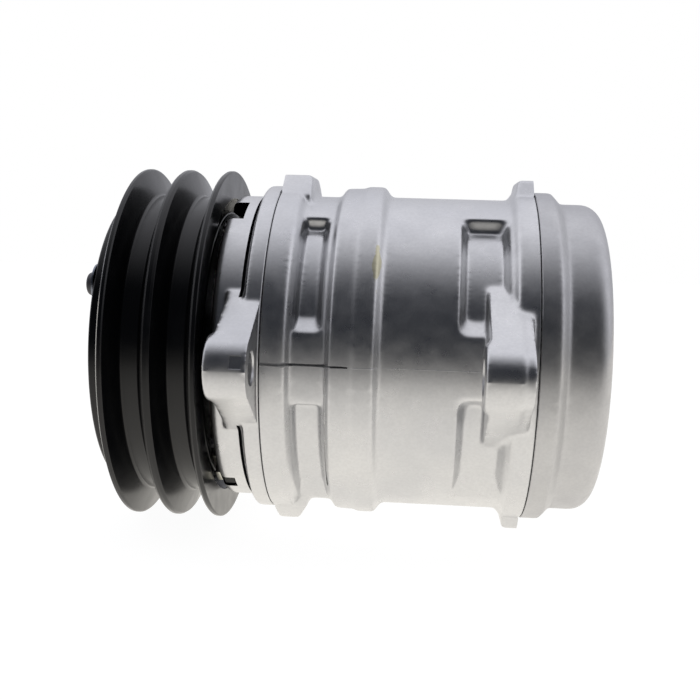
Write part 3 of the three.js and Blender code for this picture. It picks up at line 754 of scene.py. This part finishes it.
def casing():
    """The middle shell, open at the front and with a web at the rear."""
    body = lathe([
        (54, 0), (54, RING_R), (65.0, RING_R, 1.2), (67.6, BAND_R, 1.5), (78.6, BAND_R, 0.8), (80.8, 62, 0.8),
        (88, 62.2), (88.7, BEAD_R), (95, BEAD_R, 0.8), (97.6, BARREL_R, 1.5), (141.2, BARREL_R, 1.0),
        (143.4, RING_R, 0.6), (154, RING_R), (154, 0),
    ], 192)
    body = cut(
        body, *pocket(67.6, 77.4, 11.1, 58.2, (0.9, 2.0), corner=1.0, ramps=(5.4, 1.0)),
        *pocket(67.4, 78.2, -67, -13.5, (0.9, 1.1), corner=1.0, ramps=(9.0, 1.5)),
        *pocket(123.4, 140.6, 12, 59.5, ramps=(5.3, 1.5)), *pocket(124.0, 141.0, -54, -9.8, ramps=(7.5, 3.0)))
    start, end = REAR_EAR
    body = joined(
        body, lug((56, 68.6), (56, 67.8), 20.5), lug((57, 70), (57.8, 65.8), 20.5, -1),
        lug((143.6, 154), (144.2, 154), 17), lug((143.6, 154), (144.2, 154), 17, -1),
        *ears((133.2, end), REAR_EAR, (143.0, 147.5)))
    soften(body, 0.8, 8)
    body = cut(body, joint_trim(FRONT_JOINT, -1), joint_trim(REAR_JOINT - GAP, 1))
    bore = lathe([(50, 0), (50, BORE_R), (SHELL_STEP, BORE_R), (SHELL_STEP, 41), (160, 41), (160, 0)], 128)
    sinks = [countersink(start, EAR_HOLE_R, 0.8, side * EAR_Y, 0, -1) for side in (-1, 1)]
    seam = parting_groove()
    line = lathe([(79.0, 58.0), (79.0, 61.5), (79.5, 61.5), (79.5, 58.0)], 192)
    below_seam = prism([(-36, -43), (-60, -71), (-80, -75), (-80, -1.0), (-50, -1.0)], 78, 81)
    line = combine(line, [below_seam], "INTERSECT")
    body = joined(body, seam_ridge())
    return cut(body, bore, *ear_holes(120, 160), *sinks, *bolt_holes(130, 155), seam, line)


def joint_trim(x, towards):
    """A cutter for all beyond the joint at station x, with a small groove round its edge."""
    outer, lip = RING_R - 0.3, 0.35
    return lathe([
        (x, 0), (x, outer), (x - towards * lip, outer + lip), (x - towards * lip, outer + 0.4),
        (x, outer + 0.75), (x, FAR), (x + towards * 40, FAR), (x + towards * 40, 0)], 192)


def parting_groove():
    """The dark line where the two halves of the mould met, on the near side."""
    depth, above = 1.2, 1.5
    sections = [(56, RING_R, 0.85), (64, RING_R, 0.7), (67.6, BAND_R, 0.45), (78.6, BAND_R, 0.5),
                (80.8, 62.0, 0.5), (87, 62.1, 0.3)]
    return loft([(x, [(-(r - depth), 0), (-(r + above), -half * 2), (-(r + above), half * 2)])
                 for x, r, half in sections])


def seam_ridge():
    """The faint ridge that the mould left behind the parting line."""
    height, half = 0.22, 0.6
    line = [(84.5, 62.1), (88, 62.2), (88.7, BEAD_R), (95, BEAD_R), (97.6, BARREL_R), (131.5, BARREL_R)]
    return loft([(x, [(-(r + height), 0), (-(r - 1), -half), (-(r - 1), half)]) for x, r in line])


piece(casing(), "casing", "housing", cast_aluminium,
      [(machined_aluminium, machined_at(FRONT_JOINT, REAR_JOINT - GAP, SHELL_STEP))])


VALVE_Z = -16
PLUG_Z = 33.5
REAR_HOLES = [  # y, z, radius, station and radius of the seat, edge break
    (-34, 0, 6.8, PORT_SEAT, 8.6, 0.4),
    (16, 0, 6.8, PORT_SEAT, 8.6, 0.4),
    (0, VALVE_Z, 5, PLUG_SEAT, 8, 0.5),
    (0, PLUG_Z, 5, PLUG_SEAT, 8, 0.5),
    (0, 0, 4, None, 4, 0.6),
]


def rear_head():
    """The rear head: its joint, rear face, ports, bolt seats and chambers are cut after softening."""
    body = lathe([
        (147, 0), (147, RING_R), (156.9, RING_R, 0.8), (160.6, NECK_R, 1.0), (REAR_END, NECK_R, 7.0),
        (REAR_END, 0)], 192, steps=8)
    dish = lathe([(REAR_END - 1.6, 0), (REAR_END - 1.6, 36.5), (REAR_END + 2, 39.5), (REAR_END + 2, 0)], 96)
    pad = fillet([(-46, -11, 9), (-46, 11, 9), (28, 13, 11), (28, -13, 11)], 8)
    pads = [prism(pad, 165, PAST_REAR), *(rod(165, PAST_REAR, 10.5, 0, z) for z in (VALVE_Z, PLUG_Z))]
    body = cut(body, cut(dish, *pads))
    soften(body, 0.8, 5)
    lip = 0.35
    joint = lathe([
        (REAR_JOINT, 0), (REAR_JOINT, RING_R - 0.3), (REAR_JOINT + lip, RING_R - 0.3 + lip),
        (REAR_JOINT + lip, FAR), (100, FAR), (100, 0)], 192)
    face = lathe([(REAR_FACE, 0), (REAR_FACE, 90), (PAST_REAR, 90), (PAST_REAR, 0)], 32)
    cutters = [joint, face]
    for angle in BOLT_ANGLES:
        y, z = polar(BOLT_RING_R, angle)
        cutters += [rod(BOLT_SEAT, PAST_REAR, 5.8, y, z), countersink(REAR_FACE, 5.8, 0.7, y, z)]
    for y, z, radius, seat_from, seat_radius, edge in REAR_HOLES:
        cutters.append(rod(158, PAST_REAR, radius, y, z))
        if seat_from:
            cutters.append(rod(seat_from, PAST_REAR, seat_radius, y, z))
        cutters.append(countersink(REAR_FACE, seat_radius, edge, y, z))
    cutters += [tube(REAR_JOINT - 1, 165, *chamber) for chamber in ((8, 24), (27, 41))]
    cutters.append(tube(REAR_JOINT - 1, 152.3, 54, 57, 128))
    cutters += bolt_holes(REAR_JOINT - 1, 170)
    return cut(body, *cutters)


piece(rear_head(), "rear_head", "housing", rear_cast,
      [(machined_aluminium, machined_at(REAR_JOINT, REAR_FACE, PORT_SEAT, PLUG_SEAT, BOLT_SEAT))])

# ---- bolts, valve and plug ------------------------------------------------------------------------


def hexagon(radius, y=0.0, z=0.0):
    """The six corners of a hexagon, by its radius over the corners."""
    turns = [math.radians(60 * k) for k in range(6)]
    return [(y + radius * math.cos(t), z + radius * math.sin(t)) for t in turns]


def socket_bolt(y, z):
    """A long bolt with a socket head, its tip in the front head."""
    head = lathe([(167.3, 0), (167.3, 5.0, 0.2), (172.8, 5.0, 0.6), (172.8, 0)], 40, centre=(y, z), steps=3)
    body = joined(head, lathe([(50, 0), (50, 2.4), (50.6, 3), (167.6, 3), (167.6, 0)], 24, centre=(y, z)))
    return cut(body, prism(hexagon(2.6, y, z), 169.8, 180), countersink(172.8, 2.3, 0.4, y, z))


for i, angle in enumerate(BOLT_ANGLES):
    name = f"housing_bolt_{i + 1}"
    piece(socket_bolt(*polar(BOLT_RING_R, angle)), name, "housing", zinc_steel)


def hex_plug(x0, head_radius, z, flange):
    """A plug with a chamfered hexagon head on a washer face, its tip at station x0."""
    top, shank_radius = 175.0, 4.7
    head = prism(hexagon(head_radius, 0, z), 170.8, top)
    crown = lathe([
        (170.5, 0), (170.5, head_radius + 1), (174.1, head_radius + 0.2), (top, head_radius - 0.9), (top, 0)],
        64, centre=(0, z))
    head = combine(head, [crown], "INTERSECT")
    washer = rod(170.3, 171.1, flange, 0, z, 48, 0.2)
    shank = lathe([
        (x0, 0), (x0, shank_radius - 0.7), (x0 + 0.7, shank_radius), (170.6, shank_radius), (170.6, 0)],
        40, centre=(0, z))
    return joined(head, washer, shank)


inlet = rod(160, 168, 2, 0, VALVE_Z)
recess = rod(173.4, 180, 2.6, 0, VALVE_Z)
vent = rod(172, 175.5, 0.7, 0, VALVE_Z)
relief = cut(hex_plug(164, 6.6, VALVE_Z, 6.9), inlet, recess, vent)
piece(relief, "relief_valve", "housing", brass)
dimple = lathe([(173.9, 0), (173.9, 3.2), (180, 4.2), (180, 0)], 40, centre=(0, PLUG_Z))
plug = cut(hex_plug(166, 6.2, PLUG_Z, 6.6), dimple)
piece(plug, "oil_plug", "housing", zinc_steel)

# ---- clutch coil -------------------------------------------------------------------------------
coil = lathe([
    (10, 31), (10, 33.5), (31, 33.5), (31, 49.5), (10, 49.5), (10, 52, 0.5), (35.7, 52, 0.8),
    (35.7, 17.8), (33.4, 17.8), (33.4, 31)], 128, steps=3)
# The coil housing takes black paint rather than its dark steel: painted shade, so that its edge reads as dark
# as the shade inside the pulley.
piece(coil, "coil_housing", "housing", black_paint)

foot = prism(arc_outline(44.2, 51.3, -61.8, -48.2, 12, 1.2), 36, 39.3, 0.4)
tongue = prism(arc_outline(50, 56.3, -58.8, -51.2, 8, 0.8), 37.4, 39.4, 0.4)
piece(joined(foot, tongue), "coil_lead_clip", "housing", zinc_steel)
screw_y, screw_z = polar(49, -42)
screw = lathe([
    (36.2, 0), (36.2, 1.8), (37.9, 1.8), (37.9, 3.6, 0.3), (39.5, 3.3, 1.4), (39.5, 0)],
    32, centre=(screw_y, screw_z))
for half_y, half_z in ((2.2, 0.35), (0.35, 2.2)):
    y0, y1, z0, z1 = screw_y - half_y, screw_y + half_y, screw_z - half_z, screw_z + half_z
    screw = cut(screw, prism([(y0, z0), (y1, z0), (y1, z1), (y0, z1)], 38.6, 41))
piece(screw, "coil_ground_screw", "housing", bright_steel)
grommet = prism(arc_outline(47.2, 57.5, -57.8, -52.2, 8, 1.2), 40.4, 44.6, 0.6)
piece(grommet, "coil_lead_grommet", "housing", black_rubber)
pin = lathe([(36.1, 0), (36.1, 2.3), (42, 2.3), (43, 1.6, 0.5), (43, 0)], 32, centre=polar(49.3, 66))
piece(pin, "coil_locating_pin", "housing", bright_steel)

# ---- pulley ------------------------------------------------------------------------------------


def pulley():
    """Two belt grooves outside, a channel for the coil and a seat for the bearing inside."""
    mouth, mouth_r, half_angle = 13.2, 66.9, 18
    flank = 10 * math.tan(math.radians(half_angle))
    outside = [(2.2, 62, 0.5), (2.5, 65.6, 0.8), (3.4, PULLEY_R, 0.35), (4.5, PULLEY_R, 0.35)]
    for first, crest in ((5.0, 19.0), (21.2, 35.2)):
        outside += [
            (first, mouth_r, 0.3), (first + flank, GROOVE_R, 1.2), (first + mouth - flank, GROOVE_R, 1.2),
            (first + mouth, mouth_r, 0.3), (crest, PULLEY_R, 0.35), (crest + 1.2, PULLEY_R, 0.35)]
    inside = [
        (36.7, 67.0, 0.3), (36.7, 57, 0.15), (36, 57), (31, 53), (7, 53, 1.5), (7, 30, 1.5), (33, 30, 0.5),
        (33, 26.2), (7.7, 26.2), (7.7, 23.5), (2.2, 23.5, 0.5)]
    body = lathe(outside + inside, 256, steps=3)
    slots = [prism(slot_outline(40, 42.5, a, a + 64), 0, 10) for a in (20, 110, 200, 290)]
    return cut(body, *slots)


def friction_face(centre, normal):
    """The pulley's bare front face, that the armature grips."""
    return normal.x < -0.98 and centre.x < 2.3 and math.hypot(centre.y, centre.z) < 61


piece(pulley(), "pulley", "pulley", black_paint, [(dark_steel, friction_face)])

# ---- armature, springs and hub ------------------------------------------------------------------
ARMATURE_FRONT = -3.9
ARMATURE_BACK = 1.7
SPRING_BACK = ARMATURE_FRONT - GAP
SPRING_ANGLES = [30, 150, 270]  # of the springs' outer ends
OUTER_RIVET_R = 48
INNER_RIVET_R = 22
HUB_LAG = 62  # degrees from a spring's outer rivet to its inner one
RIVET_HOLE_R = 2.6


def armature():
    """The plate that the coil pulls against the pulley."""
    body = lathe([
        (ARMATURE_FRONT, 31, 0.4), (ARMATURE_FRONT, 55, 0.8), (ARMATURE_BACK, 55, 0.3),
        (ARMATURE_BACK, 31, 0.3)], 192, steps=3)
    slots = [prism(slot_outline(37, 39.5, a, a + 80), -8, 4) for a in (50, 170, 290)]
    holes = [rod(-6, 4, RIVET_HOLE_R, *polar(OUTER_RIVET_R, a), 32) for a in SPRING_ANGLES]
    return cut(body, *slots, *holes)


def armature_back(centre, normal):
    return normal.x > 0.98 and centre.x > ARMATURE_BACK - 0.1


piece(armature(), "armature_plate", "armature", black_paint, [(dark_steel, armature_back)])


def domed_rivet(angle, ring, head, back, front, shank):
    """A rivet on a ring, from the front of its head of that radius to the end of its shank."""
    corners = [
        (shank, 0), (shank, 2.3), (back, 2.3), (back, head, 0.25),
        (front + (back - front) * 0.25, head * 0.8, 1.5), (front, head * 0.35, 1.0), (front, 0)]
    return lathe(corners, 40, centre=polar(ring, angle), steps=4)


for i, angle in enumerate(SPRING_ANGLES):
    outer_rivet = domed_rivet(angle, OUTER_RIVET_R, 4.7, SPRING_BACK - 1.3, -8.4, 1.3)
    piece(outer_rivet, f"armature_rivet_{i + 1}", "armature", dark_steel)
    inner_rivet = domed_rivet(angle + HUB_LAG, INNER_RIVET_R, 4, SPRING_BACK - 1.0, -7.2, ARMATURE_FRONT + 3)
    piece(inner_rivet, f"hub_rivet_{i + 1}", "shaft", dark_steel)


def leaf_spring(angle):
    """A flat strip with round ends and a slim middle, from an outer rivet to an inner one."""
    end = 7.2
    thickness = 0.7
    outer = Vector(polar(OUTER_RIVET_R, angle))
    inner = Vector(polar(INNER_RIVET_R, angle + HUB_LAG))
    along = outer - inner
    direction = math.atan2(along.y, along.x)
    points = []
    for centre, first in ((outer, direction - math.pi / 2), (inner, direction + math.pi / 2)):
        for k in range(17):
            a = first + math.pi * k / 16
            points.append((centre.x + end * math.cos(a), centre.y + end * math.sin(a)))
        side = Vector((-math.sin(direction), math.cos(direction))) * (1 if centre == outer else -1)
        middle = (outer + inner) / 2 + side * (end - 1.6)
        points.append(tuple(middle))
    body = prism(points, SPRING_BACK - thickness, SPRING_BACK, 0.12, 2)
    return cut(body, *[rod(-8, 0, RIVET_HOLE_R, p.x, p.y, 32) for p in (outer, inner)])


for i, angle in enumerate(SPRING_ANGLES):
    piece(leaf_spring(angle), f"leaf_spring_{i + 1}", "shaft", spring_steel)


def hub():
    """The clutch hub, its bore with two flats for the shaft."""
    body = lathe([
        (ARMATURE_FRONT, 0), (ARMATURE_FRONT, 28.5, 0.6), (-0.7, 28.5, 0.5), (-0.7, 18, 1.0), (1, 13.5, 0.8),
        (9.5, 13.5, 0.6), (9.5, 0)], 96, steps=3)
    flat = 6.5
    bore = rod(-6, 12, 8.3, count=64)
    between_flats = prism([(-flat, -12), (flat, -12), (flat, 12), (-flat, 12)], -6, 12)
    bore = combine(bore, [between_flats], "INTERSECT")
    holes = [rod(-6, 2, RIVET_HOLE_R, *polar(INNER_RIVET_R, a + HUB_LAG), 32) for a in SPRING_ANGLES]
    return cut(body, bore, *holes)


piece(hub(), "clutch_hub", "shaft", black_paint)


def hub_nut():
    """A chamfered hexagon nut with a washer face."""
    front, back, hole_r = -9.8, -4.2, 5.3
    body = prism(hexagon(9.2), front, -4.4)
    crown = lathe([(front, 0), (front, 7.6), (-8.9, 9.3), (back, 9.3), (back, 0)], 64)
    body = combine(body, [crown], "INTERSECT")
    body = joined(body, rod(-5.2, back, 9.6, count=64, chamfer=0.2))
    return cut(body, rod(-12, 0, hole_r), countersink(front, hole_r, 0.7, 0, 0, -1))


piece(hub_nut(), "hub_nut", "shaft", zinc_steel)


def drive_shaft():
    """The stepped shaft, with a thread for the nut, two flats for the hub and a crank pin."""
    thread_r, pitch, depth = 5.0, 1.25, 0.55
    thread_from, thread_to = -10.2, -4.1
    crank_z = 3.2
    flat, beyond = 6.2, 13

    def thread(x, r, turn):
        if not (thread_from < x < thread_to and abs(r - thread_r) < 0.05):
            return 0
        phase = (x / pitch - turn / (2 * math.pi)) % 1
        return -depth * abs(2 * phase - 1)

    steps = int((thread_to - thread_from) / 0.16)
    threaded = [(thread_from + (thread_to - thread_from) * k / steps, thread_r) for k in range(steps + 1)]
    profile = [
        (-11, 0), (-11, 4.2), *threaded, (-3.9, thread_r), (-3.9, 8, 0.3), (10.7, 8), (10.7, 10, 0.4),
        (26, 10), (26, 11), (46, 11, 0.4), (48, 14), (57, 18.5), (60, 18.5), (60, 17), (79.5, 17, 0.5),
        (79.5, 0)]
    body = lathe(profile, 64, steps=3, relief=thread)
    crank = rod(79, 92, 5, 0, crank_z, 48, 0.4)
    centre_drill = lathe([(-12, 0), (-12, 2.6), (-11, 1.9), (-9.6, 1.0), (-8.2, 1.0), (-8.2, 0)], 32)
    flats = []
    for side in (-1, 1):
        y0, y1 = side * flat, side * beyond
        flats.append(prism([(y0, -beyond), (y1, -beyond), (y1, beyond), (y0, beyond)], -4.2, 9.6))
    return cut(joined(body, crank), centre_drill, *flats)


piece(drive_shaft(), "drive_shaft", "shaft", bright_steel)

# ---- floor, light and camera ----------------------------------------------------------------------


class Nodes:
    """Builds a small node tree."""

    def __init__(self, tree):
        self.nodes, self.links = tree.nodes, tree.links
        self.nodes.clear()

    def new(self, kind, **values):
        node = self.nodes.new(kind)
        for key, value in values.items():
            setattr(node, key, value)
        return node

    def feed(self, value, socket):
        """Links a socket, or sets a plain value."""
        if isinstance(value, bpy.types.NodeSocket):
            self.links.new(value, socket)
        else:
            socket.default_value = value

    def math(self, operation, a, b=0.0):
        node = self.new("ShaderNodeMath", operation=operation)
        self.feed(a, node.inputs[0])
        self.feed(b, node.inputs[1])
        return node.outputs[0]

    def step(self, value, low, high, at_low, at_high, kind="SMOOTHSTEP"):
        """A change from at_low to at_high as the value goes from low to high."""
        node = self.new("ShaderNodeMapRange", interpolation_type=kind)
        for key, number in (("From Min", low), ("From Max", high), ("To Min", at_low), ("To Max", at_high)):
            self.feed(number, node.inputs[key])
        self.feed(value, node.inputs["Value"])
        return node.outputs["Result"]

    def mix(self, factor, a, b):
        node = self.new("ShaderNodeMix", data_type="RGBA")
        for value, socket in (
                (factor, node.inputs["Factor"]), (a, node.inputs[MIX_A]), (b, node.inputs[MIX_B])):
            self.feed((*value, 1) if isinstance(value, tuple) else value, socket)
        return node.outputs[MIX_RESULT]

    def scaled(self, colour, factor):
        """A colour made brighter or darker by a factor."""
        node = self.new("ShaderNodeVectorMath", operation="SCALE")
        self.feed(colour, node.inputs[0])
        self.feed(factor, node.inputs["Scale"])
        return node.outputs[0]


# The table's glow: the places in Y where it begins and ends, and its value at both.
TABLE_FADE = (-0.62, -0.07, 0.0, 1.02)
TABLE_CURVE = 1.45
TABLE_LEAST = 0.12
TABLE_TINT = (1.0, 0.965, 0.9)
TABLE_SEEN = (0.965, 0.965, 0.965)  # to the camera
TABLE_MATTE = (0.12, 0.12, 0.12, 1)

# The tent's light by direction: heights and sides in degrees, from the open front.
ROOF_EDGE = (44, 104)
ROOF_LIGHT = 0.95
BACK_FALL = (122, 166)
BACK_LIGHT = 0.62
OPENING_SIDE = (50, 75)
SIDE_RISE = (-10, 30)
SIDE_LOW = 0.35
SIDE_LIGHT = 0.4
TENT_TINT = (0.97, 0.97, 1.03)
ROOM = (0.033, 0.036, 0.044)
BACKDROP = (1.0, 1.0, 1.0)  # to the camera


def floor():
    """A white table, bright under the light tent and dim in front of its opening."""
    left, right, front, back = -3, 3, -2.5, 3
    bm = bmesh.new()
    corners = [(left, front), (right, front), (right, back), (left, back)]
    bm.faces.new([bm.verts.new((x, y, FLOOR_Z - 0.0001)) for x, y in corners])
    obj = to_object(bm, "floor")
    material = bpy.data.materials.new("floor_white")
    material.use_nodes = True
    tree = Nodes(material.node_tree)
    place = tree.new("ShaderNodeSeparateXYZ")
    tree.feed(tree.new("ShaderNodeTexCoord").outputs["Object"], place.inputs[0])
    glow = tree.step(place.outputs[1], *TABLE_FADE, kind="LINEAR")
    glow = tree.math("POWER", glow, TABLE_CURVE)
    glow = tree.math("MAXIMUM", glow, TABLE_LEAST)
    camera_ray = tree.new("ShaderNodeLightPath").outputs["Is Camera Ray"]
    lit = tree.mix(camera_ray, tree.scaled(TABLE_TINT, glow), TABLE_SEEN)
    glowing = tree.new("ShaderNodeEmission")
    tree.feed(lit, glowing.inputs["Color"])
    matte = tree.new("ShaderNodeBsdfDiffuse")
    matte.inputs["Color"].default_value = TABLE_MATTE
    both = tree.new("ShaderNodeAddShader")
    tree.feed(glowing.outputs[0], both.inputs[0])
    tree.feed(matte.outputs[0], both.inputs[1])
    tree.feed(both.outputs[0], tree.new("ShaderNodeOutputMaterial").inputs["Surface"])
    obj.data.materials.append(material)


def world():
    """A light tent: bright above, at the sides and behind, and dark where its front is open."""
    sky = bpy.data.worlds.new("studio")
    bpy.context.scene.world = sky
    sky.use_nodes = True
    tree = Nodes(sky.node_tree)
    split = tree.new("ShaderNodeSeparateXYZ")
    tree.feed(tree.new("ShaderNodeTexCoord").outputs["Generated"], split.inputs[0])
    x, y, z = split.outputs
    towards_front = tree.math("MULTIPLY", y, -1)
    height = tree.math("ARCTAN2", z, towards_front)
    height = tree.math("MULTIPLY", height, 180 / math.pi)
    azimuth = tree.math("ARCTAN2", tree.math("ABSOLUTE", x), towards_front)
    azimuth = tree.math("MULTIPLY", azimuth, 180 / math.pi)
    roof = tree.step(height, *ROOF_EDGE, 0, ROOF_LIGHT)
    back = tree.step(height, *BACK_FALL, 1, BACK_LIGHT / ROOF_LIGHT)
    above = tree.math("MULTIPLY", roof, back)
    side = tree.step(azimuth, *OPENING_SIDE, 0, SIDE_LIGHT)
    side = tree.math("MULTIPLY", side, tree.step(height, *SIDE_RISE, SIDE_LOW, 1))
    brightness = tree.math("MAXIMUM", above, side)
    tent = tree.scaled(TENT_TINT, brightness)
    lit = tree.new("ShaderNodeVectorMath", operation="ADD")
    tree.feed(tent, lit.inputs[0])
    tree.feed(ROOM, lit.inputs[1])
    camera_ray = tree.new("ShaderNodeLightPath").outputs["Is Camera Ray"]
    seen = tree.mix(camera_ray, lit.outputs[0], BACKDROP)
    shader = tree.new("ShaderNodeBackground")
    tree.feed(seen, shader.inputs["Color"])
    tree.feed(shader.outputs[0], tree.new("ShaderNodeOutputWorld").inputs["Surface"])


floor()
world()

# The camera looks at the near side from a little above the shaft.
CAMERA_PLACE = (0.03078, -0.39208, 0.04178)
CAMERA_TURN = (83.8406, -1.7438, 4.5745)
CAMERA_LENS = 51.68
camera = bpy.data.objects.new("camera", bpy.data.cameras.new("camera"))
bpy.context.scene.collection.objects.link(camera)
camera.location = CAMERA_PLACE
camera.rotation_euler = Euler([math.radians(a) for a in CAMERA_TURN])
camera.data.sensor_width = 36
camera.data.lens = CAMERA_LENS
camera.data.clip_start = 0.02
bpy.context.scene.camera = camera
bpy.context.scene.view_settings.view_transform = "Standard"

bpy.context.view_layer.update()
